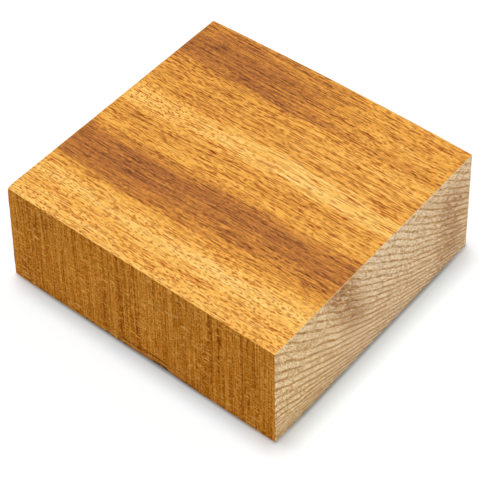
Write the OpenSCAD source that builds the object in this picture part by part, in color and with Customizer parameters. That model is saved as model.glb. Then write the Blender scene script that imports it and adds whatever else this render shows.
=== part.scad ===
// Bowl turning blank: one short, thick block of hardwood, sawn nearly square for the lathe.
// The grain runs along X and the planed face looks up +Z. The origin is the middle of the base.
// Each face is a flat cut a little out of true, apart from the back, which bows out.

/* [Blank] */
// Length along the grain, through the middle
blank_length = 127; // [90:1:220]
// Width across the grain, through the middle
blank_width = 120.5; // [90:0.5:220]
// Thickness at the middle
blank_thickness = 48; // [35:0.1:90]

/* [End cuts, in degrees] */
// Right end (+X): how far it turns to face the back
right_skew = 1.2; // [-3:0.1:3]
// Right end: how far it tips to face up
right_lean = 0.9; // [-3:0.1:3]
// Left end (-X): how far it turns to face the back
left_skew = 0.7; // [-3:0.1:3]
// Left end: how far it tips to face up
left_lean = 0.4; // [-3:0.1:3]

/* [Long cuts, in degrees] */
// Front (-Y): how far it turns to face the left
front_skew = 1; // [-3:0.1:3]
// Front: how far it tips to face up
front_lean = 0.4; // [-3:0.1:3]
// Back (+Y): how far it turns to face the left
back_skew = 0.5; // [-3:0.1:3]
// Planed top: how far it falls towards the left
top_fall_left = 0.5; // [0:0.1:2]
// Planed top: how far it falls towards the front
top_fall_front = 0.5; // [0:0.1:2]

/* [Bowed back] */
// How far the back stands out at its middle
back_bow = 1; // [0.5:0.1:3]

/* [Arrises] */
// Flat left on each crisp arris, where the fibres are just broken
crisp_flat = 0.4; // [0.2:0.05:1.5]
// Flat on the worn upright arris at the left front
worn_flat = 0.7; // [0.2:0.05:3]
// How far the knocked corner on top of it is cut back along each edge
knocked_corner = 1.4; // [1:0.1:5]

/* [Hollow lower front arris] */
// Length of the stretch that is rubbed hollow
hollow_length = 92; // [40:1:200]
// Middle of the hollow, to the right of the blank's middle
hollow_place = -18; // [-40:1:20]
// How far its middle stands back from both faces
hollow_depth = 0.6; // [0.2:0.05:2]

/* [Torn scar at the lower front] */
// Length of the scar that a lost sliver left
scar_length = 35; // [10:1:80]
// Height of the scar on the front
scar_height = 4; // [1:0.1:12]
// Depth of the scar in the base
scar_depth = 1.1; // [0.3:0.1:5]
// Middle of the scar, to the right of the blank's middle
scar_place = 8.5; // [-20:0.5:20]

/* [Split beside the scar] */
// Length of the split that runs left from the rim of the scar, at half its height
split_length = 24; // [5:1:40]
// How far the split climbs on its way to the scar
split_rise = 0.8; // [0:0.1:2]
// Width of the split at the scar
split_gap = 0.35; // [0.1:0.05:1]
// Depth of the split
split_depth = 1.2; // [0.3:0.1:4]

/* [Nicks in the top front arris] */
// Places of the nicks, to the right of the blank's middle
nick_places = [-16, 7, 41, 56]; // [-60:1:60]
// Length of each nick
nick_lengths = [3.5, 3, 4, 7.5]; // [1:0.5:12]
// Depth of each nick
nick_depths = [0.4, 0.45, 0.35, 0.6]; // [0.1:0.05:1.5]

/* [Hidden] */
wood = [0.80, 0.56, 0.28];
// Spare stock outside each face
waste = 12;
// Short flat strokes that take off one bowed arris
bow_strokes = 5;
// Steps in a circle: many for the shallow arcs, fewer for a ball
arc_steps = 360;
ball_steps = 90;

// A cut is [n, d]: it keeps what has n * point <= d.
function cut(normal, through) =
    let (n = normal / norm(normal)) [n, n * through];

middle = [0, 0, blank_thickness / 2];
right_end = cut([1, tan(right_skew), tan(right_lean)], middle + [blank_length / 2, 0, 0]);
left_end = cut([-1, tan(left_skew), tan(left_lean)], middle - [blank_length / 2, 0, 0]);
front = cut([-tan(front_skew), -1, tan(front_lean)], middle - [0, blank_width / 2, 0]);
back = cut([-tan(back_skew), 1, 0], middle + [0, blank_width / 2, 0]);
top = cut([-tan(top_fall_left), -tan(top_fall_front), 1], [0, 0, blank_thickness]);
base = cut([0, 0, -1], [0, 0, 0]);

// The sum of two cuts passes through the edge where they meet, so a little less of it
// takes off that arris. The sum of three does the same at a corner.
function arris(a, b, flat) = [a[0] + b[0], a[1] + b[1] - flat / sqrt(2)];
function corner(a, b, c, reach) = [a[0] + b[0] + c[0], a[1] + b[1] + c[1] - reach];

// The point where three cuts meet, by Cramer's rule
function meet(a, b, c) =
    (a[1] * cross(b[0], c[0]) + b[1] * cross(c[0], a[0]) + c[1] * cross(a[0], b[0]))
    / (a[0] * cross(b[0], c[0]));

// The back is an arc that leaves the flat cut at both ends and stands back_bow out of it.
back_left = meet(back, left_end, base);
back_right = meet(back, right_end, base);
back_chord = norm(back_right - back_left);
bow_radius = (back_chord * back_chord / 4 + back_bow * back_bow) / (2 * back_bow);
bow_centre = (back_left + back_right) / 2 + back[0] * (back_bow - bow_radius);
bow_half_angle = asin(back_chord / 2 / bow_radius);

// The flat cut that touches the bow at an angle from its middle
function bow_tangent(angle) =
    let (out = atan2(back[0][1], back[0][0]) - angle, n = [cos(out), sin(out), 0])
    cut(n, bow_centre + bow_radius * n);

// Every flat cut that shapes the block. The arrises of the bowed back are taken off in
// short strokes, each square to the bow at its own angle.
faces = [right_end, left_end, front, top, base];
stroke_angles =
    [for (i = [1 : bow_strokes]) (2 * i - 1 - bow_strokes) / bow_strokes * bow_half_angle];
level_arrises = [
    for (level = [top, base]) each [
        for (face = [right_end, left_end, front]) arris(face, level, crisp_flat),
        for (angle = stroke_angles) arris(bow_tangent(angle), level, crisp_flat)
    ]
];
upright_arrises = [
    arris(front, right_end, crisp_flat),
    arris(front, left_end, worn_flat),
    arris(bow_tangent(bow_half_angle), right_end, crisp_flat),
    arris(bow_tangent(-bow_half_angle), left_end, crisp_flat)
];
knock = corner(front, left_end, top, knocked_corner);

// The lower front arris, as the point where it has a given x
front_left = meet(front, left_end, base);
front_right = meet(front, right_end, base);
function lower_front(x) =
    front_left
    + (front_right - front_left) * (x - front_left[0]) / (front_right[0] - front_left[0]);
front_heading = atan2((front_right - front_left)[1], (front_right - front_left)[0]);

// The top front arris in the same way
top_left = meet(front, left_end, top);
top_right = meet(front, right_end, top);
function top_front(x) =
    top_left + (top_right - top_left) * (x - top_left[0]) / (top_right[0] - top_left[0]);

// Radius of an arc from its chord and its depth
function arc_radius(chord, depth) = chord * chord / (8 * depth) + depth / 2;

// All that a cut keeps: a cube much larger than the blank, with one face on the cut
module within(plane) {
    n = plane[0] / norm(plane[0]);
    side = 2 * (blank_length + blank_width + blank_thickness);
    rotate([0, acos(n[2]), atan2(n[1], n[0])])
        translate([-side / 2, -side / 2, plane[1] / norm(plane[0]) - side])
            cube(side);
}

// The rough stock that the blank is sawn from
module rough_stock() {
    translate([-blank_length / 2 - waste, -blank_width / 2 - waste, -waste])
        cube([blank_length, blank_width, blank_thickness] + 2 * [waste, waste, waste]);
}

// Everything inside the arc of the bowed back
module inside_bow() {
    translate([bow_centre[0], bow_centre[1], -2 * waste])
        cylinder(r = bow_radius, h = blank_thickness + 4 * waste, $fn = arc_steps);
}

// A shallow scoop across an arris: a large cylinder that lies across it, tipped so that
// it climbs rise up the face above and reaches run under the face below. The cylinder is
// long enough to come out of both faces.
module scoop(place, heading, chord, rise, run) {
    depth = rise * run / norm([rise, run]);
    radius = arc_radius(chord, depth);
    tool = 4 * (rise + run);
    translate(place)
        rotate([0, 0, heading])
            rotate([atan2(run, rise), 0, 0])
                translate([0, depth - radius, 0])
                    cylinder(r = radius, h = tool, center = true, $fn = arc_steps);
}

// The thin split: a wedge that closes to nothing at its left end. It meets the scar at half
// its height, where the rim has drawn in by sqrt(1/2), and runs on into it by its own depth.
module split() {
    rim = scar_place - scar_length / 2 * sqrt(1 / 2);
    reach = split_length + split_depth;
    translate(lower_front(rim - split_length) + [0, 0, scar_height / 2 - split_rise])
        rotate([0, 0, front_heading])
            translate([0, split_depth, 0])
                rotate([90, 0, 0])
                    linear_extrude(split_depth + waste)
                        polygon([[0, 0], [reach, split_rise - split_gap / 2],
                                 [reach, split_rise + split_gap / 2]]);
}

// One nick in the top front arris, where a ball has dented it
module nick(x, length, depth) {
    radius = arc_radius(length, depth);
    outward = (front[0] + top[0]) / norm(front[0] + top[0]);
    translate(top_front(x) + outward * (radius - depth))
        sphere(r = radius, $fn = ball_steps);
}

module blank() {
    color(wood)
        difference() {
            intersection() {
                rough_stock();
                inside_bow();
                intersection_for (plane = concat(faces, level_arrises, upright_arrises, [knock]))
                    within(plane);
            }
            scoop(lower_front(hollow_place), front_heading, hollow_length, hollow_depth, hollow_depth);
            scoop(lower_front(scar_place), front_heading, scar_length, scar_height, scar_depth);
            split();
            for (i = [0 : len(nick_places) - 1])
                nick(nick_places[i], nick_lengths[i], nick_depths[i]);
        }
}

blank();
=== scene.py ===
"""A bowl turning blank: one short, thick block of hardwood, planed on top and rough elsewhere.

The block is one closed surface. Its flat cuts, its bowed back and its size are read from the
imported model. The wear on its arrises, its saw marks and its scar are added to that surface, and
its three finishes are grown from one solid figure, so that bands run over the arrises.
"""

import math

import bpy
import numpy as np
from bpy.props import FloatProperty, FloatVectorProperty, IntProperty, PointerProperty
from mathutils import Matrix, Quaternion, Vector


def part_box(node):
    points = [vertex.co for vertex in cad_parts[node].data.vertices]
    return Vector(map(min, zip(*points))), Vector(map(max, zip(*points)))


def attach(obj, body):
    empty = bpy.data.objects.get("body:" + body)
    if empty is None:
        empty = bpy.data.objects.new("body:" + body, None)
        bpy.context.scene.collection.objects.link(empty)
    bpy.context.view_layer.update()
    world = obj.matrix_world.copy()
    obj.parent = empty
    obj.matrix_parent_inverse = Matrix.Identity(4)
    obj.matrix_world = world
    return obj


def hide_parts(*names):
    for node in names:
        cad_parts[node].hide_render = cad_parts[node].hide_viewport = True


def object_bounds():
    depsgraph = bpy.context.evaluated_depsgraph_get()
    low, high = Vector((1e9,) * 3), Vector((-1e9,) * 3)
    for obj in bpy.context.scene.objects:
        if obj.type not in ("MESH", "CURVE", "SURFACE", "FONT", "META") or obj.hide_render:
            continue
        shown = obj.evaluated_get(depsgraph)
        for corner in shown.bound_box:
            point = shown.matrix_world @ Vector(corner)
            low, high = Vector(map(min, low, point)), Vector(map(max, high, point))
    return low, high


bl_info = {
    "name": "Bowl Turning Blank",
    "version": (1, 0, 0),
    "blender": (4, 5, 0),
    "location": "3D View > Sidebar > Blank",
    "description": "Builds a sawn and planed hardwood block, its raised fibres and a plain stage",
    "category": "Object",
}

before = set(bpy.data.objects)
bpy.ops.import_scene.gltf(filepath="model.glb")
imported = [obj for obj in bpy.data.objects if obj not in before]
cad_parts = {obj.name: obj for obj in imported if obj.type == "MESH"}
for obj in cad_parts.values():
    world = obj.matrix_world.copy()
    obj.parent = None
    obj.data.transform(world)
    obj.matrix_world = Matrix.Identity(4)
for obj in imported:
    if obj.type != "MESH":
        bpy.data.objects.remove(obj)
CAD_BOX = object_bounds()

MM = 0.001
NODE = "blank"
BODY = "root"


# ---------- settings


def length(name, description, default_mm, largest_mm=50.0):
    """A length property, given in millimetres and stored in metres."""
    return FloatProperty(
        name=name, description=description, default=default_mm * MM,
        min=0.0, max=largest_mm * MM, precision=5, unit="LENGTH")


def angle(name, description, degrees):
    """An angle property, given in degrees and stored in radians."""
    return FloatProperty(
        name=name, description=description, default=math.radians(degrees), subtype="ANGLE")


def linear(name, description, *parts):
    """A colour property, given as linear red, green and blue."""
    return FloatVectorProperty(
        name=name, description=description, default=parts, min=0.0, max=1.0, subtype="COLOR")


def colour(name, description, *levels):
    """A colour property, given as screen levels of 0 to 255."""
    return linear(name, description, *(
        v / 255 / 12.92 if v <= 10 else ((v / 255 + 0.055) / 1.055) ** 2.4 for v in levels))


def share(name, description, default, largest=1.0):
    """A plain number from 0 up."""
    return FloatProperty(
        name=name, description=description, default=default, min=0.0, max=largest,
        subtype="FACTOR")


class BlankShape(bpy.types.PropertyGroup):
    """Wear and saw marks, all in the surface of the block itself"""

    arris: length("Crisp arris", "Radius of an arris that is only broken", 0.28)
    worn_arris: length("Worn arris", "Extra radius of the upright arris at the left front", 0.22)
    knocked_corner: length("Knocked corner", "Extra radius at the top left front corner", 0.5)
    saw_depth: length("Saw marks", "Depth of the saw marks on the long sides and the base", 0.15)
    end_depth: length("End marks", "Depth of the roughness on the ends", 0.07)
    hollow_length: length("Hollow length", "Length of the hollow in the lower front arris", 92, 200)
    hollow_place: length("Hollow place", "Middle of the hollow from the left end", 45.5, 200)
    hollow_depth: length("Hollow depth", "How far it stands back from both faces", 0.42)
    scar_length: length("Scar length", "Length of the torn scar", 35, 200)
    scar_place: length("Scar place", "Middle of the scar from the left end", 72, 200)
    scar_height: length("Scar height", "Height of the scar on the front", 4.3)
    scar_depth: length("Scar depth", "Depth of the scar in the base", 0.62)
    split_depth: length("Split depth", "Depth of the crevice over the scar", 0.8)
    fibres: IntProperty(name="Fibres", description="Number of raised fibres", default=1700, min=9)
    fibre_length: length("Fibre length", "Length of the longest raised fibre", 2.1)
    fibre_width: length("Fibre width", "Width of a raised fibre at its root", 0.44)
    seed: IntProperty(name="Seed", description="Starts every random draw", default=7)


class BlankFinish(bpy.types.PropertyGroup):
    """Colours and scales of the finishes"""

    deep: colour("Deep heart", "Darkest lines in a streak of the planed face", 116, 64, 32)
    heart: colour("Heart streak", "Dark streaks of the planed face", 152, 88, 42)
    russet: colour("Russet", "Planed face between streak and gold", 190, 117, 50)
    gold: colour("Gold", "Usual colour of the planed face", 224, 152, 60)
    straw: colour("Straw", "Planed face between gold and pale bands", 241, 174, 73)
    # cream also paints the pale line along the arrises, partly a painted highlight
    cream: colour("Cream", "Pale bands of the planed face", 252, 201, 106)
    light: colour("Light", "Palest lines in a pale band of the planed face", 255, 222, 146)
    pore: linear("Pore", "What a pore leaves of the colour round it", 0.47, 0.16, 0.03)
    pore_deep: linear("Heart pore", "What it leaves in a heart streak", 0.20, 0.13, 0.17)
    sawn: colour("Sawn", "Sawn long sides and base", 195, 118, 18)
    sawn_dark: colour("Sawn dark", "Scores and torn fibre on the sawn sides", 132, 67, 2)
    sawn_pale: colour("Sawn pale", "Raised fibre on the sawn sides", 232, 168, 76)
    fibre: colour("Fibre", "Palest of the raised fibres", 255, 204, 106)
    torn: colour("Torn wood", "Inside of the scar", 204, 132, 60)
    # split paints shade in the crevice, the nicks and the scar's mouth and end, and the shadow
    # under the splinters
    split: colour("Split", "Inside of the crevice and of the nicks", 104, 54, 18)
    end: colour("End grain", "Usual colour of the end grain", 236, 193, 136)
    end_dark: colour("End rings", "Dark side of a ring on the ends", 180, 127, 68)
    # end_pale also paints the pale line along the top arris, partly a painted highlight
    end_pale: colour("End parenchyma", "Pale lines between the rings", 255, 237, 204)
    end_heart: colour("End heart", "Streaks of heart colour on the ends", 164, 112, 72)
    end_pore: colour("End pore", "Pores and ticks of the end grain", 130, 84, 44)
    end_warm: linear("Warm end", "What is left of these colours by the front", 1.0, 0.975, 0.87)
    ring_pitch: length("Ring pitch", "Distance between rings along the top of an end", 4.75)
    pore_width: length("Pore width", "Width of the widest pores of the planed face", 0.9)


class BlankStage(bpy.types.PropertyGroup):
    """Floor, light and camera"""

    floor: linear("Floor", "Colour of the floor, as the block is lit by it", 0.88, 0.88, 0.88)
    floor_seen: linear("Seen floor", "Colour of the floor, as it is seen", 0.96, 0.965, 0.97)
    # Painted cool, slightly darker tint beside the block, against the warm light that the wood
    # throws on the floor
    floor_painted_tint: linear("Near floor", "The same, beside the long sides and ends", 0.815, 0.93, 1.0)
    # Painted shadow on the floor at the foot of the block
    floor_painted_shadow: linear("Floor at the foot", "The same, where the block stands", 0.30, 0.35, 0.36)
    # How far the painted tint and the painted shadow at the foot reach
    near: length("Near", "How far the near floor reaches from the block", 22)
    foot_shadow: length("Contact", "How far the floor at the foot reaches from the block", 1.3)
    lift: share("Lift", "What is added to the floor as it is seen, where 1 is white", 0.055)
    sky: share("Sky", "Strength of the even light from all round", 0.26, 5.0)
    lamp: share("Lamp", "What the soft lamp above adds to a white floor", 0.69, 5.0)
    lamp_width: angle("Lamp width", "Angle that it fills, so how soft its shadow is", 18)
    side_lamps: FloatVectorProperty(
        name="Side lamps", description="What the low lamps at the front, right, back and left "
        "add to a white upright side", default=(0.10, 0.24, 0.10, 0.10), size=4, min=0.0)
    azimuth: angle("Azimuth", "Bearing of the camera, from the front to the right", 39.559)
    elevation: angle("Elevation", "Height of the camera above the floor", 46.989)
    roll: angle("Roll", "Turn of the camera about its own line of sight", -0.711)
    distance: length("Distance", "From the camera to what it looks at", 862.53, 5000)
    lens: FloatProperty(
        name="Lens", description="Focal length on a 36 mm wide sensor", default=170.92,
        unit="CAMERA")
    aim: FloatVectorProperty(
        name="Aim", description="The point that the camera looks at",
        default=(0.003616, -0.005591, 0.019), subtype="TRANSLATION")


# ---------- the block's cuts


def cad_cuts():
    """The flat cuts and the bow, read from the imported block.

    Triangles that face within 8 degrees of an axis belong to that side. A flat side is their
    mean normal and their mean distance along it, weighted by area. The bowed back is upright,
    so it is the parabola y = c0 + c1 x + c2 x^2 through its points.
    """
    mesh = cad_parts[NODE].data
    points = np.empty(len(mesh.vertices) * 3)
    mesh.vertices.foreach_get("co", points)
    points = points.reshape(-1, 3) / MM
    mesh.calc_loop_triangles()
    corners = np.empty(len(mesh.loop_triangles) * 3, np.int64)
    mesh.loop_triangles.foreach_get("vertices", corners)
    triangles = points[corners.reshape(-1, 3)]
    cross = np.cross(triangles[:, 1] - triangles[:, 0], triangles[:, 2] - triangles[:, 0])
    area = np.linalg.norm(cross, axis=1)
    solid = area > 1e-9
    triangles, cross, area = triangles[solid], cross[solid], area[solid]
    normals = cross / area[:, None]
    cuts = {}
    near = math.cos(math.radians(8))
    for side, axis in (("right", (1, 0, 0)), ("left", (-1, 0, 0)), ("front", (0, -1, 0)),
                       ("top", (0, 0, 1)), ("base", (0, 0, -1))):
        chosen = normals @ np.array(axis) > near
        weight = area[chosen] / area[chosen].sum()
        normal = (normals[chosen] * weight[:, None]).sum(0)
        normal /= np.linalg.norm(normal)
        middle = (triangles[chosen].mean(1) * weight[:, None]).sum(0)
        cuts[side] = (normal, float(normal @ middle))
    chosen = normals[:, 1] > near
    back = triangles[chosen].reshape(-1, 3)
    bow = np.polyfit(back[:, 0], back[:, 1], 2)
    return cuts, bow


def meeting_point(*cuts):
    """The point where three flat cuts meet."""
    return np.linalg.solve(np.array([c[0] for c in cuts]), np.array([c[1] for c in cuts]))


def block_corners():
    """The eight corners, indexed [right][back][top], the sag of the back, and mean sizes.

    The back cut is taken as the chord of the bow between the two ends.
    """
    cuts, bow = cad_cuts()
    ends = [cuts["left"], cuts["right"]]
    levels = [cuts["base"], cuts["top"]]
    flat_back = (np.array([0.0, 1.0, 0.0]), float(np.polyval(bow, 0.0)))
    reach = [meeting_point(end, flat_back, cuts["base"])[0] for end in ends]
    heights = np.polyval(bow, reach)
    slope = (heights[1] - heights[0]) / (reach[1] - reach[0])
    normal = np.array([-slope, 1.0, 0.0]) / math.hypot(slope, 1.0)
    back = (normal, float(normal @ np.array([reach[0], heights[0], 0.0])))
    sides = [cuts["front"], back]
    corners = np.array([[[meeting_point(end, side, level) for level in levels]
                         for side in sides] for end in ends])
    sag = -bow[0] * (reach[1] - reach[0]) ** 2 / 4
    edges = [np.diff(corners, axis=axis) for axis in range(3)]
    size = np.array([np.linalg.norm(edge, axis=-1).mean() for edge in edges])
    return corners, sag, size


# ---------- numbers on arrays


def smooth_step(value, low, high):
    """0 below low, 1 above high, and 3t^2 - 2t^3 between."""
    t = np.clip((value - low) / (high - low), 0.0, 1.0)
    return t * t * (3.0 - 2.0 * t)


def between(share, low, high):
    """Low at a share of 0, high at 1, and in proportion between."""
    return low * (1 - share) + high * share


def hump(value, middle, half):
    """1 at the middle, falling as 1 - t^2 to 0 at half either side."""
    return np.clip(1.0 - ((value - middle) / half) ** 2, 0.0, None)


def noise(seed, u, v=0.0):
    """Smooth noise from -1 to 1: random numbers on a unit lattice, blended by smooth steps."""
    side = 256
    table = np.random.default_rng(seed).random((side, side)) * 2.0 - 1.0
    u, v = np.broadcast_arrays(np.asarray(u, float), np.asarray(v, float))
    iu, iv = np.floor(u).astype(int), np.floor(v).astype(int)
    fu, fv = smooth_step(u - iu, 0, 1), smooth_step(v - iv, 0, 1)

    def corner(du, dv):
        return table[(iu + du) % side, (iv + dv) % side]

    return between(fv, between(fu, corner(0, 0), corner(1, 0)),
                   between(fu, corner(0, 1), corner(1, 1)))


def graded_lines(total, *stretches):
    """Places of the grid lines along an edge: close together by both arrises, even between.

    Each stretch is given by where it stops, or None for the far arris, and by its step.
    """
    by_arris = np.array([0.0, 0.07, 0.15, 0.25, 0.38, 0.56, 0.85, 1.3])
    lines, start = [by_arris], by_arris[-1]
    for stop, step in stretches:
        stop = stop or total - by_arris[-1]
        count = max(1, round((stop - start) / step))
        lines.append(np.linspace(start, stop, count + 1)[1:])
        start = stop
    return np.concatenate([*lines, (total - by_arris)[::-1][1:]])


# ---------- the surface of the block

# Lengths are in millimetres here, and places along the grain are from the left end.

TOP, BASE, FRONT, BACK, RIGHT, LEFT = range(6)
# Stretches of the grid along, across and up. It is finer near the foot
GRID = (((None, 0.62),), ((None, 1.25),), ((5.0, 0.25), (None, 0.95)))
# How many deeper scores the saw left on each side
SCORES = 9
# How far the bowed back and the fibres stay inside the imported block
CLEARANCE = 0.01
# Chips out of the top front arris: place, length and depth
CHIPS = ((47.5, 3.5, 0.3), (70.5, 3.0, 0.35), (104.5, 4.0, 0.25), (119.5, 7.5, 0.45))
# The crevice over the scar: place, height and strength
CREVICE = (
    (52.5, 3.0, 0.0), (54.7, 3.0, 0.6), (57.5, 3.0, 0.5), (58.8, 2.8, 0.1), (60.0, 2.8, 0.9),
    (62.5, 3.2, 1.0), (65.0, 3.8, 1.0), (68.0, 4.2, 0.7), (76.0, 4.2, 0.6), (79.0, 4.0, 0.0),
)
# Nicks in the foot of the front: place, half width and height, and how deep they all are
NICKS = ((37.5, 0.5, 1.8), (40.2, 0.4, 1.6), (48.0, 0.7, 1.8), (53.6, 0.5, 2.8))
NICK_DEPTH = 0.35
# Splinters along the grain of the front: place, height and length
SPLINTERS = ((70.4, 34.5, 6.5), (77.6, 34.9, 3.5), (81.0, 34.3, 4.5), (85.2, 32.0, 5.5),
             (52.0, 30.2, 2.2), (53.5, 28.8, 2.0), (52.8, 29.4, 1.6), (86.0, 31.5, 3.5))
# How many of them have a thin painted shadow under them
PAINTED_SHADOWS = 4
# Places of the scar's mouth and end, darkened with painted shade, and of the pale, frayed lip at
# the foot
SCAR_MOUTH, SCAR_END, LIP, LIP_HEIGHT = 74.0, 87.0, 62.0, 1.7


def box_grid(lines_x, lines_y, lines_z):
    """A closed grid over a box: its points, its four-sided faces, and each face's side."""
    shape = (len(lines_x), len(lines_y), len(lines_z))
    shell = np.ones(shape, bool)
    shell[1:-1, 1:-1, 1:-1] = False
    index = np.full(shape, -1)
    index[shell] = np.arange(shell.sum())
    i, j, k = np.nonzero(shell)
    points = np.stack([lines_x[i], lines_y[j], lines_z[k]], -1)

    # The sheets are in the order of the sides, and every second one is turned to face outwards.
    sheets = (index[:, :, -1], index[:, :, 0], index[:, 0], index[:, -1], index[-1], index[0])
    quads = []
    for side, sheet in enumerate(sheets):
        four = np.stack([sheet[:-1, :-1], sheet[1:, :-1], sheet[1:, 1:], sheet[:-1, 1:]], -1)
        quads.append(four.reshape(-1, 4)[:, ::-1 if side % 2 else 1])
    return points, np.concatenate(quads), np.repeat(range(6), [len(q) for q in quads])


def saw_marks(seed, along, up):
    """Depth, mostly 0 to 1, of band-saw marks that stand across the grain.

    It is noise in along at three spacings, which wanders a little with up, the distance along
    the marks, plus a few deeper scores.
    """
    rng = np.random.default_rng(seed)
    place = along + 0.5 * noise(seed + 1, along / 30, up / 18) + 0.012 * up
    marks = 0.42 * noise(seed + 2, place / 3.1, up / 60)
    marks += 0.25 * noise(seed + 3, place / 1.5, up / 40)
    marks += 0.12 * noise(seed + 4, place / 0.8, up / 7)
    depth = 0.28 + 0.6 * marks
    span = float(np.max(along))
    for score in np.sort(rng.uniform(0.04, 0.97, SCORES)) * span:
        width = rng.uniform(0.5, 1.1)
        fade = 0.6 + 0.4 * noise(seed + 5, score, up / 9)
        depth = depth + rng.uniform(0.25, 0.5) * hump(place, score, width) * fade
    return np.clip(depth, 0.0, 1.4)


def plane_back(points, anchor, facing, depth):
    """Moves what stands beyond a slanting plane straight back onto it, and says how far.

    The plane runs along the grain, depth behind the arris at anchor, and faces outwards. Both
    anchor and facing are given as (across, up).
    """
    outward = np.array(facing) / np.hypot(*facing)
    beyond = (points[:, 1:] - anchor) @ outward + depth
    amount = np.clip(beyond, 0.0, None)
    points[:, 1:] -= outward * amount[:, None]
    return amount


def round_arrises(shape, box, size):
    """The box with its arrises rounded, and its normals.

    Each point is put at the arris radius from the inner box. The radius is uneven, and larger
    down the worn arris and at the knocked corner.
    """
    along, across, up = box.T
    uneven = noise(shape.seed + 11, along / 5 + up / 4, across / 5)
    radius = shape.arris / MM * (1.0 + 0.35 * uneven)
    at_left_front = np.exp(-(along ** 2 + across ** 2) / 1.6 ** 2)
    radius = radius + shape.worn_arris / MM * at_left_front * (
        1.0 + 0.5 * noise(shape.seed + 12, up / 4))
    to_corner = np.sqrt((along / 3.0) ** 2 + across ** 2 + (size[2] - up) ** 2)
    radius = radius + shape.knocked_corner / MM * np.exp(-(to_corner / 1.8) ** 2)
    core = np.clip(box, radius[:, None], size - radius[:, None])
    normal = box - core
    normal /= np.linalg.norm(normal, axis=1)[:, None]
    return core + radius[:, None] * normal, normal


def mark_depth(shape, box, size, normal, arris_distance):
    """Depth of the marks: the saw's on the long sides and the base, and rough ends.

    Each kind counts by the square of the normal's own part towards its sides.
    """
    along, across, up = box.T
    facing = normal ** 2
    seed = shape.seed
    saw = shape.saw_depth / MM
    fuzz = 0.25 * noise(seed + 21, along / 0.9, up / 0.8) * saw
    deep = facing[:, 1] * (saw_marks(seed + 30, along, up) * saw + fuzz)
    inland = smooth_step(arris_distance, 1.5, 4.0) * (up < size[2] / 2)
    deep += facing[:, 2] * inland * saw_marks(seed + 50, along, across) * saw
    rough = 0.5 + 0.3 * noise(seed + 22, across / 2.6, up / 1.6)
    rough += 0.2 * noise(seed + 23, across / 1.3, up / 1.0)
    deep += facing[:, 0] * rough * shape.end_depth / MM
    return np.clip(deep, 0.0, None)


def wear_front(shape, points, along, height):
    """Rubs the hollow into the lower front arris, and knocks chips out of the upper one."""
    hollow = shape.hollow_depth / MM / math.sqrt(2) * hump(
        along, shape.hollow_place / MM, shape.hollow_length / MM / 2)
    hollow = hollow * (1 + 0.25 * noise(shape.seed + 13, along / 4))
    plane_back(points, (0.0, 0.0), (-1.0, -1.0), hollow)
    chips = np.zeros(len(points))
    for place, long, depth in CHIPS:
        chips = np.maximum(chips, depth * hump(along, place, long / 2))
    chips = chips + 0.10 * np.clip(noise(shape.seed + 14, along / 2.2), 0, None)
    plane_back(points, (0.0, height), (-1.0, 1.0), chips)


def tear_scar(shape, points, along, up):
    """Tears the scar, a slanting plane roughened along the grain, and gives its mask."""
    rise, run = shape.scar_height / MM, shape.scar_depth / MM
    reach = rise * run / math.hypot(rise, run) * hump(
        along, shape.scar_place / MM, shape.scar_length / MM / 2)
    torn = noise(shape.seed + 15, along / 9 + up, up / 0.8)
    torn = torn + 0.6 * noise(shape.seed + 16, along / 3, up / 0.5)
    reach = reach + 0.13 * torn * np.minimum(reach, 1)
    amount = plane_back(points, (0.0, 0.0), (-rise, -run), reach)
    return smooth_step(amount, 0.0, 0.12)


def open_crevice(shape, points, box):
    """Opens the crevice over the scar, which narrows to the left, and nicks the foot."""
    along, across, up = box.T
    where, height, strength = np.array(CREVICE).T
    line = np.interp(along, where, height)
    open_share = np.interp(along, where, strength)
    split = hump(up, line, 0.30 + 0.15 * open_share) * (across < 0.01) * open_share
    points[:, 1] += split * shape.split_depth / MM
    for where, half, height in NICKS:
        nick = hump(along, where, half + 0.3) * (1 - smooth_step(up, height - 0.6, height))
        points[:, 1] += NICK_DEPTH * nick * (across < 1.0)


def block_surface(shape):
    """The block as points in metres, faces, the side of each face, and two masks.

    A box grid is rounded, moved in by its marks along its own normal and cut back where it is
    worn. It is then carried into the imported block: a point is the mean of the block's eight
    corners, each weighted by how near it is, once the distance from the front is stretched by
    1 + bow (1 - (2 s - 1)^2), where s goes from 0 to 1 along the grain.
    """
    corners, sag, size = block_corners()
    box, faces, sides = box_grid(
        *(graded_lines(total, *stretches) for total, stretches in zip(size, GRID, strict=True)))
    arris_distance = np.sort(np.minimum(box, size - box), axis=1)[:, 1]
    points, normal = round_arrises(shape, box, size)
    points -= normal * mark_depth(shape, box, size, normal, arris_distance)[:, None]
    wear_front(shape, points, box[:, 0], size[2])
    scar = tear_scar(shape, points, box[:, 0], box[:, 2])
    open_crevice(shape, points, box)

    place = points / size
    s, t, w = place[:, 0:1], place[:, 1:2], place[:, 2:3]
    bow = (sag - CLEARANCE) / size[1]
    t = t * (1.0 + bow * (1.0 - (2.0 * s - 1.0) ** 2))
    where = sum(
        (s if i else 1 - s) * (t if j else 1 - t) * (w if k else 1 - w) * corners[i, j, k]
        for i in (0, 1) for j in (0, 1) for k in (0, 1))
    masks = {"arris_mm": arris_distance, "scar": scar}
    return np.clip(where * MM, *CAD_BOX), faces, sides, masks


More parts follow.
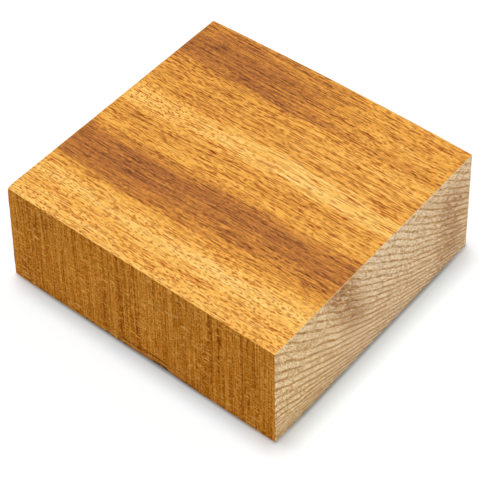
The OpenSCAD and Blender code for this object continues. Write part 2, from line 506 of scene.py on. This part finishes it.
def raised_fibres(shape):
    """Fibres that the saw has torn up, as points in metres, triangles and a tone for each point.

    A fibre is a three-sided tube along root + run t + rise t^1.5 + curl t^2, for t from 0 to 1,
    where run lies along the surface, rise stands out of it and curl lies across both. Its radius
    falls as 1 - 0.85 t, and its root is sunk in the surface. Fibres stand on the front and the
    back, in proportion to area, in tufts, and up to three times as thickly in the scar.
    """
    surface, faces, sides, masks = block_surface(shape)
    rng = np.random.default_rng(shape.seed + 100)
    quad = surface[faces]
    cross = np.cross(quad[:, 2] - quad[:, 0], quad[:, 3] - quad[:, 1])
    area = np.linalg.norm(cross, axis=1)
    inland = masks["arris_mm"][faces].mean(1) > 1.5
    weight = area * np.isin(sides, (FRONT, BACK))
    weight = weight * (inland + 2.0 * masks["scar"][faces].mean(1))
    middle = quad.mean(1) / MM
    tufts = noise(shape.seed + 60, middle[:, 0] / 7, middle[:, 2] / 7)
    weight = weight * (0.35 + 1.6 * np.clip(tufts, 0, None))
    count = shape.fibres
    chosen = rng.choice(len(faces), count, p=weight / weight.sum())
    place, height, reach = np.array(SPLINTERS).T
    off = (middle[:, 0] - middle[:, 0].min() - place[:, None]) ** 2
    off = off + (middle[:, 2] - height[:, None]) ** 2
    some = slice(len(SPLINTERS))
    chosen[some] = np.where(sides == FRONT, off, np.inf).argmin(1)
    spread = rng.random((count, 2, 1))
    low = between(spread[:, 0], quad[chosen, 0], quad[chosen, 1])
    high = between(spread[:, 0], quad[chosen, 3], quad[chosen, 2])
    root = between(spread[:, 1], low, high)
    out = cross[chosen] / area[chosen, None]

    turn = rng.normal(0.0, 0.45, count) + np.pi * (rng.random(count) < 0.5)
    turn = np.where(rng.random(count) < 0.25, rng.uniform(0, 2 * np.pi, count), turn)
    long = shape.fibre_length * rng.uniform(0.3, 1.0, count)
    rise = rng.uniform(0.06, 0.30, count)
    bend = rng.normal(0.0, 0.25, count)
    thick = rng.uniform(0.4, 1.0, count)
    tone = rng.random(count) ** 0.5
    # The splinters lie along the grain, long and thick, almost flat and straight, and pale
    turn[some], long[some], thick[some] = np.pi, reach * MM, 1.3
    rise[some], bend[some], tone[some] = 0.06, bend[some] * 0.15, 1.0
    grain = np.cross(out, [0.0, 0.0, 1.0])
    grain /= np.linalg.norm(grain, axis=1)[:, None]
    run = grain * np.cos(turn)[:, None] + np.cross(out, grain) * np.sin(turn)[:, None]
    curl = np.cross(out, run)
    rings, edges = 5, 3
    t = np.linspace(0.0, 1.0, rings)[None, :, None]
    long, rise, bend, thick = (v[:, None, None] for v in (long, rise, bend, thick))
    sunk = shape.fibre_width * 0.10
    line = root[:, None] + run[:, None] * long * t + curl[:, None] * long * bend * t ** 2
    line = line + out[:, None] * (long * rise * t ** 1.5 - sunk)
    radius = shape.fibre_width / 2 * thick * (1 - 0.85 * t)
    bearing = (np.arange(edges) * 2 * np.pi / edges)[:, None]
    rim = out[:, None, None] * np.cos(bearing) + curl[:, None, None] * np.sin(bearing)
    points = (line[:, :, None] + rim * radius[..., None]).reshape(-1, 3)
    inside = np.array(CAD_BOX) + np.array([[CLEARANCE * MM], [-CLEARANCE * MM]])
    points = np.clip(points, inside[0], inside[1])

    ring, corner = np.meshgrid(np.arange(rings - 1), np.arange(edges), indexing="ij")
    here, there = ring * edges + corner, ring * edges + (corner + 1) % edges
    lower, upper = [there, here, here + edges], [there + edges, there, here + edges]
    wall = [np.stack(triangle, -1).reshape(-1, 3) for triangle in (lower, upper)]
    tube = rings * edges
    one = np.concatenate([*wall, [[0, 1, 2]], [[tube - 1, tube - 2, tube - 3]]])
    triangles = (one[None] + np.arange(count)[:, None, None] * tube).reshape(-1, 3)
    return points, triangles, {"tone": np.repeat(tone, tube)}


def mesh_piece(name, points, faces, masks, materials, slots):
    """A piece of the object from arrays: smooth, with its masks as point attributes."""
    mesh = bpy.data.meshes.new(name)
    mesh.from_pydata(points, [], faces, shade_flat=False)
    for material in materials:
        mesh.materials.append(material)
    mesh.polygons.foreach_set("material_index", slots)
    for label, values in masks.items():
        mesh.attributes.new(label, "FLOAT", "POINT").data.foreach_set("value", values)
    mesh.validate()
    piece = bpy.data.objects.new(name, mesh)
    bpy.context.scene.collection.objects.link(piece)
    return piece


# ---------- shader expressions


def both_ways(operation):
    """The methods for a Python operator and its reflected form, which add a Math node."""
    return (lambda self, other: self.graph.math(operation, self, other),
            lambda self, other: self.graph.math(operation, other, self))


class Value:
    """What a socket gives. Arithmetic on it adds Math nodes; as a colour it is only linked."""

    def __init__(self, graph, socket):
        self.graph = graph
        self.socket = socket

    __add__, __radd__ = both_ways("ADD")
    __sub__, __rsub__ = both_ways("SUBTRACT")
    __mul__, __rmul__ = both_ways("MULTIPLY")
    __truediv__, __rtruediv__ = both_ways("DIVIDE")
    # a | b is the larger of two masks
    __or__, __ror__ = both_ways("MAXIMUM")

    def size(self):
        """The number without its sign."""
        return self.graph.math("ABSOLUTE", self)

    def rise(self, low, high, first=0.0, last=1.0):
        """0, or first, below low and 1, or last, above high, with a smooth step between."""
        return self.graph.out(self.graph.node("MapRange", {
            "Value": self, "From Min": low, "From Max": high, "To Min": first, "To Max": last},
            interpolation_type="SMOOTHSTEP"))

    def fall(self, low, high):
        """1 below low and 0 above high, with a smooth step between."""
        return self.rise(low, high, 1.0, 0.0)

    def near(self, place, inner, outer):
        """1 within inner of the place and 0 beyond outer, with a smooth step between."""
        return (self - place).size().fall(inner, outer)


class Graph:
    """One node tree, for a material or for the world."""

    def __init__(self, tree):
        self.tree = tree
        tree.nodes.clear()

    def node(self, kind, sockets=None, **settings):
        """Adds a node. Its settings are set first, then its sockets are set or linked."""
        node = self.tree.nodes.new(f"ShaderNode{kind}")
        for name, value in settings.items():
            if name == "stops":
                self.set_stops(node.color_ramp, value)
            else:
                setattr(node, name, value)
        for name, value in (sockets or {}).items():
            socket = node.inputs[name]
            if isinstance(value, Value):
                self.tree.links.new(value.socket, socket)
            elif socket.type == "RGBA":
                socket.default_value = (*value, 1.0)
            else:
                socket.default_value = value
        return node

    @staticmethod
    def set_stops(ramp, stops):
        """Gives a ramp its stops, each a place and a colour or a level of grey."""
        while len(ramp.elements) < len(stops):
            ramp.elements.new(1.0)
        for element, (place, value) in zip(ramp.elements, stops, strict=True):
            level = tuple(value) if hasattr(value, "__len__") else (value,) * 3
            element.position = place
            element.color = (*level, 1.0)

    def out(self, node, name=0):
        """One output of a node."""
        return Value(self, node.outputs[name])

    def math(self, operation, *values):
        """What a Math node makes of those values."""
        return self.out(self.node("Math", dict(enumerate(values)), operation=operation))

    def vector(self, x, y, z):
        """Three values as one vector."""
        return self.out(self.node("CombineXYZ", {"X": x, "Y": y, "Z": z}))

    def place(self):
        """Object position in millimetres, as three values."""
        where = self.out(self.node("TexCoord"), "Object")
        scaled = self.node("VectorMath", {0: where, "Scale": 1.0 / MM}, operation="SCALE")
        parts = self.node("SeparateXYZ", {0: self.out(scaled)})
        return [self.out(parts, axis) for axis in "XYZ"]

    def noise(self, place, long, wide, high=None, detail=0.0, roughness=0.5):
        """Noise about 0, mostly within a quarter either way, drawn out to those lengths.

        high is the same as wide unless it is given.
        """
        x, y, z = place
        noise = self.node("TexNoise", {
            "Vector": self.vector(x / long, y / wide, z / (high or wide)), "Scale": 1.0,
            "Detail": detail, "Roughness": roughness}, noise_dimensions="3D")
        return self.out(noise) * 2.0 - 1.0

    def spots(self, place, radius, share):
        """1 inside scattered spots of up to that radius, in that share of unit cells.

        Two coordinates give spots that run on for ever along the third.
        """
        x, y, z = (*place, 0.0)[:3]
        cells = self.node("TexVoronoi", {"Vector": self.vector(x, y, z), "Scale": 1.0},
                          feature="F1", voronoi_dimensions=f"{len(place)}D")
        drawn = self.node("SeparateColor", {0: self.out(cells, "Color")})
        limit = self.out(drawn, "Red") * (0.5 * radius) + 0.5 * radius
        inside = (self.out(cells, "Distance") / limit).fall(0.7, 1.0)
        return inside * (share - self.out(drawn, "Green")).rise(-0.02, 0.02)

    def ramp(self, value, stops, interpolation="LINEAR"):
        """A colour or a level read off a list of stops."""
        node = self.node("ValToRGB", {0: value}, stops=stops)
        node.color_ramp.interpolation = interpolation
        return self.out(node)

    def mix(self, share, low, high, blend="MIX"):
        """A colour between low and high, or between low and its product with high."""
        node = self.node("Mix", {0: share, 6: low, 7: high}, data_type="RGBA", blend_type=blend)
        return self.out(node, 2)

    def attribute(self, name):
        """A point attribute of the piece."""
        return self.out(self.node("Attribute", attribute_name=name), "Fac")

    def end(self, kind, shader):
        """Links the last shader to the output node of that kind."""
        self.node(kind, {"Surface": self.out(shader)})

    def end_seen(self, kind, light, seen):
        """Ends with one shader for light, and one for the camera, reflections and clear glass."""
        path = self.node("LightPath")
        camera, glossy, clear = (
            self.out(path, f"Is {ray} Ray") for ray in ("Camera", "Glossy", "Transmission"))
        self.end(kind, self.node("MixShader", {
            0: camera | glossy | clear, 1: self.out(light), 2: self.out(seen)}))


def new_material(name):
    """An empty material and its graph."""
    material = bpy.data.materials.new(name)
    material.use_nodes = True
    return material, Graph(material.node_tree)


def wood_surface(graph, colour, relief, roughness, specular):
    """Ends a wood material. relief is in millimetres and specular is a plain number."""
    bump = graph.node("Bump", {"Height": relief, "Distance": MM, "Strength": 1.0})
    shader = graph.node("BsdfPrincipled", {
        "Base Color": colour, "Roughness": roughness, "Normal": graph.out(bump),
        "Specular IOR Level": specular})
    graph.end("OutputMaterial", shader)


# ---------- the three finishes


def tones_across(*stops):
    """A ramp's stops from places in thousandths and tones in hundredths."""
    return [(place / 1000, tone / 100) for place, tone in stops]


# Tone of the planed face from the back to the front, 0 in a heart streak and 1 in a pale band
LEFT_STREAKS = tones_across(
    (0, 33), (30, 30), (65, 20), (100, 13), (145, 12), (188, 16), (212, 50), (250, 54), (275, 58),
    (292, 46), (312, 60), (350, 54), (372, 72), (400, 82), (435, 88), (462, 76), (485, 58),
    (510, 50), (550, 62), (578, 58), (596, 36), (640, 11), (668, 17), (700, 9), (760, 23),
    (785, 62), (830, 81), (862, 88), (900, 71), (950, 80), (1000, 94),
)
RIGHT_STREAKS = tones_across(
    (0, 67), (35, 56), (65, 66), (92, 56), (110, 66), (150, 62), (188, 48), (208, 71), (245, 74),
    (275, 70), (292, 56), (312, 68), (330, 58), (355, 65), (375, 88), (405, 78), (428, 100),
    (458, 64), (480, 52), (508, 67), (530, 61), (555, 68), (580, 38), (600, 24), (655, 14),
    (700, 31), (755, 46), (800, 71), (850, 96), (905, 79), (1000, 78),
)


class Extent:
    """Where the block's own sides are, in millimetres."""

    def __init__(self):
        low, high = (np.array(v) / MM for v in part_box(NODE))
        self.left, self.front, _ = low
        self.right, self.back, self.top = high
        self.long = self.right - self.left
        self.wide = self.back - self.front


def planed_wood(extent, finish):
    """Ribboned heartwood along x: bands, fine streaks, and pores that are tubes.

    A tube leans a little against the face, so the face cuts it as a dash along the grain. The
    short dashes are in the pale bands, and the long ones in the rest. Towards the right of the
    back half the wood is combed: its lines are stronger and its dashes are long.
    """
    material, g = new_material("planed_wood")
    x, y, z = place = g.place()
    depth = extent.top - z
    y = y + g.noise(place, 70, 26) * 1.5 + g.noise(place, 18, 4) * 0.50
    grown = (x, y, z)
    along = (x - extent.left) / extent.long
    across = (extent.back - y + depth * 0.3) / extent.wide
    fray = g.noise(grown, 16, 1.3, detail=2)
    across = across + fray * 0.02
    passing = (along + fray * 0.3).rise(0.25, 0.80)
    band = g.ramp(across, LEFT_STREAKS, "EASE") * (1.0 - passing)
    band = band + g.ramp(across, RIGHT_STREAKS, "EASE") * passing

    fine = g.noise(grown, 34, 0.34, detail=2, roughness=0.62)
    streak = g.noise(grown, 48, 0.9, detail=2, roughness=0.6)
    haze = g.noise(grown, 9, 1.9, detail=1)
    speck = g.noise(grown, 1.2, 0.5, detail=1)
    combed = along.rise(0.1, 0.7) * across.near(0.36, 0.05, 0.20)
    tone = band + fine * (0.59 + combed * 0.42) + streak * 0.36 + haze * 0.12
    tone = tone + speck * (0.32 - combed * 0.14) + 0.065
    tone = tone - (fine + streak * 0.5).rise(0.02, 0.40) * 0.11
    low, high = -0.35, 1.35
    colours = (finish.deep, finish.heart, finish.russet, finish.gold, finish.straw,
               finish.cream, finish.light)
    tones = (low, 0.0, 0.25, 0.5, 0.75, 1.0, high)
    stops = [((t - low) / (high - low), c) for t, c in zip(tones, colours, strict=True)]
    colour = g.ramp((tone - low) / (high - low), stops)

    wavy = y + fray * 0.35 + x * 0.01

    def tubes(slope, lean, gap, width, share):
        """Tubes a gap apart that rise through the face by slope and cross the grain by lean."""
        radius = finish.pore_width / MM / 2 * width
        return g.spots(((wavy + x * lean) / gap, (z + x * slope) / gap), radius / gap, share)

    pale = (band + haze * 0.5).rise(0.60, 0.80)
    crowded = (streak + fine).fall(-0.06, 0.14) * 0.65 + 0.42
    short = (0.20 + 0.80 * pale) * (1.0 - combed * 0.75)
    pores = tubes(0.27, 0.12, 0.76, 0.54, 0.60) * short
    crowded = crowded * (band.rise(0.20, 0.45) * 0.45 + 0.75)
    pores = pores | tubes(0.12, 0.04, 0.60, 0.54, 0.90) * crowded * (1.0 - 0.35 * pale)
    long = crowded * (1.0 - 0.5 * pale + combed * 0.6)
    pores = pores | tubes(0.03, -0.01, 0.60, 0.46, 0.90) * long
    tint = g.mix(band.rise(0.1, 0.9), finish.pore_deep, finish.pore)
    colour = g.mix(pores, colour, tint, "MULTIPLY")
    # A pale line along the arrises: partly worn fibre, partly a painted highlight
    edge = g.attribute("arris_mm").fall(0.12, 0.5)
    colour = g.mix(edge * 0.35, colour, finish.cream)
    relief = fine * 0.012 - pores * 0.015
    wood_surface(g, colour, relief, roughness=0.50 + pores * 0.3, specular=0.15)
    return material


def sawn_wood(extent, finish):
    """Fuzzy band-sawn wood: upright lines from the teeth, torn flecks and raised flecks."""
    material, g = new_material("sawn_wood")
    x, y, z = place = g.place()
    upright = (x + (y + z) * 0.012, y, z)
    lines = g.noise(upright, 0.55, 40, detail=2, roughness=0.6)
    bars = g.noise(upright, 3.4, 60, detail=1).rise(-0.10, 0.10) - 0.5
    strokes = g.noise(upright, 0.4, 4, detail=1)
    speck = g.noise(place, 0.7, 0.5, detail=2, roughness=0.65)
    scores = g.noise(upright, 1.8, 70).size().fall(0.0, 0.04)
    scores = scores * g.noise(upright, 3, 12).rise(-0.15, 0.15)
    ridges = g.noise(place, 3.5, 0.5).rise(0.34, 0.42)
    torn = g.spots((x / 1.2, y / 0.7, z / 0.7), 0.38, 0.26)
    raised = g.spots((x / 1.1 + 40, y / 0.6, z / 0.6), 0.36, 0.24)
    tone = 0.49 + lines * 0.82 + bars * 0.14 + strokes * 0.35 + speck * 1.02
    tone = tone - scores * 0.65 - torn * 0.85 + (raised | ridges) * 1.35
    colour = g.ramp(tone, ((0.0, finish.sawn_dark), (0.5, finish.sawn), (1.0, finish.sawn_pale)))

    # The inside of the scar, and then what is dark or pale at the foot of the front: the dark is
    # painted shade in the crevice, the nicks and the scar's mouth and end
    scar, along = g.attribute("scar"), x - extent.left
    front = (y - extent.front).fall(2.5, 4.0)
    streaks = g.noise(place, 7, 0.5, detail=1)
    smooth = g.mix(streaks * 0.9 + 0.3, finish.torn, finish.sawn_dark)
    colour = g.mix(scar * 0.85, colour, smooth)
    reach = along / extent.long
    line = g.ramp(reach, [(p / extent.long, height / 10) for p, height, _ in CREVICE]) * 10.0
    strong = g.ramp(reach, [(p / extent.long, strength) for p, _, strength in CREVICE])
    # Painted shade in the crevice, at the scar's mouth and end, and in the nicks
    dark = (z + streaks * 0.4).near(line, 0.15, 0.50) * strong
    dark = dark | along.near(SCAR_MOUTH, 3.0, 4.5) * (z + streaks).fall(1.2, 1.9)
    dark = dark | along.near(SCAR_END, 2.0, 3.0) * z.fall(0.5, 1.0)
    for where, half, height in NICKS:
        nick = along.near(where, half * 0.3, half * 1.1) * 0.8
        dark = dark | nick * z.fall(height - 0.8, height)
    # A thin painted shadow under the first splinters
    for where, height, long in SPLINTERS[:PAINTED_SHADOWS]:
        splinter_shadow = (z + streaks * 0.8).near(height - 0.40, 0.05, 0.30) * 0.7
        dark = dark | along.near(where + long / 2, long * 0.3, long * 0.55) * splinter_shadow
    lip = along.near(LIP, 22.0, 28.0) * z.near(LIP_HEIGHT, 0.35, 1.0)
    lip = lip * (0.45 + g.noise(place, 5, 1) * 1.6) * (1.0 - scar * 0.6)
    colour = g.mix(lip * front, colour, finish.sawn_pale)
    # Paints that shade and the shadow under the splinters
    colour = g.mix(dark * front * 0.85, colour, finish.split)
    relief = lines * 0.05 + strokes * 0.05 + speck * 0.07 - scores * 0.06
    relief = (relief - torn * 0.08 + (raised | ridges) * 0.10) * (1.0 - scar * 0.8)
    wood_surface(g, colour, relief, roughness=0.9, specular=0.05)
    return material


def end_grain(extent, finish):
    """Rings, rays and pores of a sawn end.

    A ring is a line on which ring is the same, where s = y / 50, t = depth / 50 and
    ring = y + 2 s^2 - 2 s^3 - t (60 + 4 s - 4 s^2) + t^2 (3 - 7 s) - 27 t^3,
    so that the lines are steep at the top and flatten and crowd towards the base. In the
    last 11 mm they crowd more, by (depth - 38)^2 / 11, and most of all at the front.
    The rays cross them about squarely: ray = y + 36 arctan(1.16 t).
    The end is palest in a patch at the middle of the top, and warmest by the front.
    """
    material, g = new_material("end_grain")
    x, y, z = place = g.place()
    depth = extent.top - z
    s, t = y / 50.0, depth / 50.0
    ring = y + s * s * (2.0 - s * 2.0) - t * (60.0 + s * (4.0 - s * 4.0))
    ring = ring + t * t * (3.0 - s * 7.0) - t * t * t * 27.0
    crowd = (depth - 38.0) | 0.0
    ring = ring - crowd * crowd * y.fall(-55.0, 5.0) / 11.0
    ray = y + g.math("ARCTANGENT", t * 1.16) * 36.0
    ring = ring + g.noise(place, 60, 18, detail=1) * 1.5
    ring = ring + g.noise((x, ring, ray), 30, 7, 9) * 0.7
    grown = (x, ring, ray)
    phase = g.math("SINE", ring * (2 * math.pi / (finish.ring_pitch / MM)))
    lines = phase.rise(0.1, 1.0)
    patchy = g.noise(grown, 20, 7, 6)
    broken = g.noise(grown, 10, 1.5, 4, detail=2, roughness=0.6)
    fleck = g.noise(grown, 8, 0.62, 1.1, detail=2, roughness=0.65)
    grit = g.noise(place, 2, 0.40, detail=1, roughness=0.7)
    tone = 0.75 - lines * (0.55 + depth * 0.009 + patchy * 0.8) + patchy * 0.3
    tone = tone + broken * 0.8 + fleck * 1.95 + grit * 2.7
    across = (y - extent.front) / extent.wide
    palest = (across - depth * 0.0032).near(0.54, 0.04, 0.20) * depth.fall(6, 34)
    tone = tone + palest * 0.12
    colour = g.ramp(tone, ((0.0, finish.end_dark), (0.5, finish.end), (1.0, finish.end_pale)))
    colour = g.mix(across.fall(0.1, 0.5), colour, finish.end_warm, "MULTIPLY")

    # The bands of the planed face go on down the end, where they lean towards the back.
    streak = (across - depth * 0.0036).near(0.308, 0.015, 0.100) * depth.fall(16, 42)
    streak = streak * (1.0 + depth.fall(3, 18) * 0.4)
    behind = (across + patchy * 0.06).near(0.90, 0.03, 0.10)
    behind = behind * depth.rise(3, 14) * depth.fall(38, 52) * 0.9
    heart = (streak | behind) * (0.48 + broken * 2.2 + fleck * 1.8)
    colour = g.mix(heart * 0.8, colour, finish.end_heart)

    pores = g.spots((ring / 1.3, ray / 1.1), 0.24, 0.50)
    rays = g.noise((x + 81, ring, ray), 9, 7, 1.1).rise(0.16, 0.32) * 0.5
    dark = pores | rays
    colour = g.mix(dark * 0.5, colour, finish.end_pore)
    # A pale line along the top arris of the end: a painted highlight, partly worn fibre too
    edge = g.attribute("arris_mm").fall(0.15, 0.6) * depth.fall(1.0, 2.0)
    colour = g.mix(edge * 0.4, colour, finish.end_pale)
    relief = broken * 0.10 + fleck * 0.08 - lines * 0.08 - dark * 0.12
    wood_surface(g, colour, relief, roughness=0.92, specular=0.05)
    return material


def fibre_wood(finish):
    """Raised fibres: pale, with a few dark ones."""
    material, g = new_material("raised_fibre")
    tone = g.attribute("tone")
    colour = g.ramp(tone, ((0.0, finish.sawn_dark), (0.2, finish.sawn), (0.6, finish.sawn_pale),
                            (1.0, finish.fibre)))
    shader = g.node("BsdfPrincipled", {
        "Base Color": colour, "Roughness": 0.9, "Specular IOR Level": 0.05})
    g.end("OutputMaterial", shader)
    return material


# ---------- operators


class BLANK_OT_block(bpy.types.Operator):
    """Build the block with its wear, marks and scar, and finish its three kinds of surface"""

    bl_idname = "blank.block"
    bl_label = "Turning Blank"

    def execute(self, context):
        shape, finish = context.scene.blank_shape, context.scene.blank_finish
        points, faces, sides, masks = block_surface(shape)
        extent = Extent()
        materials = [planed_wood(extent, finish), sawn_wood(extent, finish),
                     end_grain(extent, finish)]
        slots = np.where(sides == TOP, 0, np.where(np.isin(sides, (RIGHT, LEFT)), 2, 1))
        piece = mesh_piece("turning_blank", points, faces, masks, materials, slots)
        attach(piece, BODY)
        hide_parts(NODE)
        return {"FINISHED"}


class BLANK_OT_fibres(bpy.types.Operator):
    """Raise torn fibres on the sawn front and back and in the scar"""

    bl_idname = "blank.fibres"
    bl_label = "Raised Fibres"

    def execute(self, context):
        shape, finish = context.scene.blank_shape, context.scene.blank_finish
        points, faces, masks = raised_fibres(shape)
        piece = mesh_piece("raised_fibres", points, faces, masks, [fibre_wood(finish)],
                           np.zeros(len(faces), int))
        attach(piece, BODY)
        return {"FINISHED"}


class BLANK_OT_stage(bpy.types.Operator):
    """Lay the floor, set the light and place the camera"""

    bl_idname = "blank.stage"
    bl_label = "Stage"

    def execute(self, context):
        scene, stage = context.scene, context.scene.blank_stage
        scene.view_settings.view_transform = "Standard"
        lay_floor(stage)
        set_sky(scene, stage)
        hang_sun(scene, "lamp_above", stage.lamp, stage.lamp_width, ABOVE)
        for turn, (side, strength) in enumerate(zip(SIDES, stage.side_lamps, strict=True)):
            hang_sun(scene, f"lamp_{side}", strength, SIDE_WIDTH,
                     toward(turn * math.pi / 2, SIDE_HEIGHT))
        scene.camera = place_camera(scene, stage)
        return {"FINISHED"}


def floor_colour(g, stage):
    """The floor as it is seen: a painted cool, slightly darker tint beside the block, which cancels
    the warm light that the wood throws on it and deepens its shadow, and a painted shadow at the
    foot.

    How far a place is outside the foot of the block is the largest of n . p - c over its four
    sides, where n is a side's outward normal. Both the painted tint and the painted shadow fade
    towards the corners, and the painted shadow begins at the left end.
    """
    x, y, _ = g.place()
    corners, _, size = block_corners()
    ring = corners[[0, 1, 1, 0], [0, 0, 1, 1], 0, :2]
    beyond = None
    for start, stop in zip(ring, np.roll(ring, -1, axis=0), strict=True):
        run = (stop - start) / np.linalg.norm(stop - start)
        off = x * float(run[1]) - y * float(run[0]) - float(start @ (run[1], -run[0]))
        beyond = off if beyond is None else beyond | off
    by_front = (size[0] / 2 - x.size()).rise(-12.0, 20.0)
    by_end = (size[1] / 2 - y.size()).rise(-12.0, 20.0)
    beside = by_front | by_end
    # Painted tint against the wood's warm bounce light, with a little painted shade
    near = beyond.fall(0.0, stage.near / MM) * (beside - by_end * 0.22)
    tint = g.mix(near, stage.floor_seen, stage.floor_painted_tint)
    # Painted shadow at the foot of the block, none by the left end where the lamp above falls
    foot_shadow = beyond.fall(-0.2, stage.foot_shadow / MM * (1.0 + by_end * 0.4))
    foot_shadow = foot_shadow * (0.2 + beside * 0.8) * (0.75 + by_end * 0.25)
    foot_shadow = foot_shadow * (size[0] / 2 + x).rise(-1.0, 4.0)
    return g.mix(foot_shadow, tint, stage.floor_painted_shadow)


WHITE = (1.0, 1.0, 1.0)
# In metres
FLOOR_WIDTH, NEAREST_SEEN = 8.0, 0.01
# In millimetres, as the lens is
SENSOR_WIDTH = 36.0


def lay_floor(stage):
    """A floor. What is seen of it is lifted to white and carries a painted tint and a painted
    shadow beside the block, and it still takes the shadow.
    """
    bpy.ops.mesh.primitive_plane_add(size=FLOOR_WIDTH)
    floor = bpy.context.object
    floor.name = "floor"
    material, g = new_material("floor")
    lit = g.node("BsdfDiffuse", {"Color": stage.floor})
    seen = g.node("BsdfDiffuse", {"Color": floor_colour(g, stage)})
    lift = g.node("Emission", {"Color": WHITE, "Strength": stage.lift})
    lifted = g.node("AddShader", {0: g.out(seen), 1: g.out(lift)})
    g.end_seen("OutputMaterial", lit, lifted)
    floor.data.materials.append(material)


def set_sky(scene, stage):
    """Even light from all round, seen as white."""
    scene.world = bpy.data.worlds.new("sky")
    scene.world.use_nodes = True
    g = Graph(scene.world.node_tree)
    light = g.node("Background", {"Color": WHITE, "Strength": stage.sky})
    seen = g.node("Background", {"Color": WHITE, "Strength": 1.0})
    g.end_seen("OutputWorld", light, seen)


def toward(azimuth, elevation):
    """The direction at that bearing, from the front towards the right, and that height."""
    return Vector((math.sin(azimuth) * math.cos(elevation),
                   -math.cos(azimuth) * math.cos(elevation), math.sin(elevation)))


ABOVE = toward(math.radians(243), math.radians(83.5))
SIDES = ("front", "right", "back", "left")
SIDE_WIDTH, SIDE_HEIGHT = math.radians(30), math.radians(12)


def hang_sun(scene, name, strength, width, direction):
    """A soft lamp in that direction, far enough away to light all of the floor alike.

    strength is what it adds to a white surface that faces it, and width is the angle it fills.
    """
    lamp = bpy.data.lights.new(name, "SUN")
    lamp.energy = strength * math.pi
    lamp.angle = width
    hung = bpy.data.objects.new(name, lamp)
    hung.rotation_euler = direction.to_track_quat("Z", "Y").to_euler()
    scene.collection.objects.link(hung)


def place_camera(scene, stage):
    """The camera at its bearing and height, looking at the aim and turned by the roll."""
    data = bpy.data.cameras.new("camera")
    data.sensor_width = SENSOR_WIDTH
    data.lens = stage.lens
    data.clip_start = NEAREST_SEEN
    back = toward(stage.azimuth, stage.elevation)
    turn = back.to_track_quat("Z", "Y") @ Quaternion((0.0, 0.0, 1.0), stage.roll)
    camera = bpy.data.objects.new("camera", data)
    camera.matrix_world = Matrix.LocRotScale(
        Vector(stage.aim) + back * stage.distance, turn, None)
    scene.collection.objects.link(camera)
    return camera


class BLANK_PT_sidebar(bpy.types.Panel):
    """The operators that build the block and its stage"""

    bl_idname = "BLANK_PT_sidebar"
    bl_label = "Turning Blank"
    bl_space_type = "VIEW_3D"
    bl_region_type = "UI"
    bl_category = "Blank"

    def draw(self, context):
        for operator in OPERATORS:
            self.layout.operator(operator.bl_idname)


OPERATORS = (BLANK_OT_block, BLANK_OT_fibres, BLANK_OT_stage)
SETTINGS = {"blank_shape": BlankShape, "blank_finish": BlankFinish, "blank_stage": BlankStage}
CLASSES = (*SETTINGS.values(), *OPERATORS, BLANK_PT_sidebar)


def register():
    """Registers the classes and puts the settings on the scene."""
    for group in CLASSES:
        bpy.utils.register_class(group)
    for name, group in SETTINGS.items():
        setattr(bpy.types.Scene, name, PointerProperty(type=group))


def unregister():
    """Takes away what register has made."""
    for name in SETTINGS:
        delattr(bpy.types.Scene, name)
    for group in reversed(CLASSES):
        bpy.utils.unregister_class(group)


def main():
    """Builds everything in order."""
    register()
    bpy.ops.blank.block()
    bpy.ops.blank.fibres()
    bpy.ops.blank.stage()


if __name__ == "__main__":
    main()
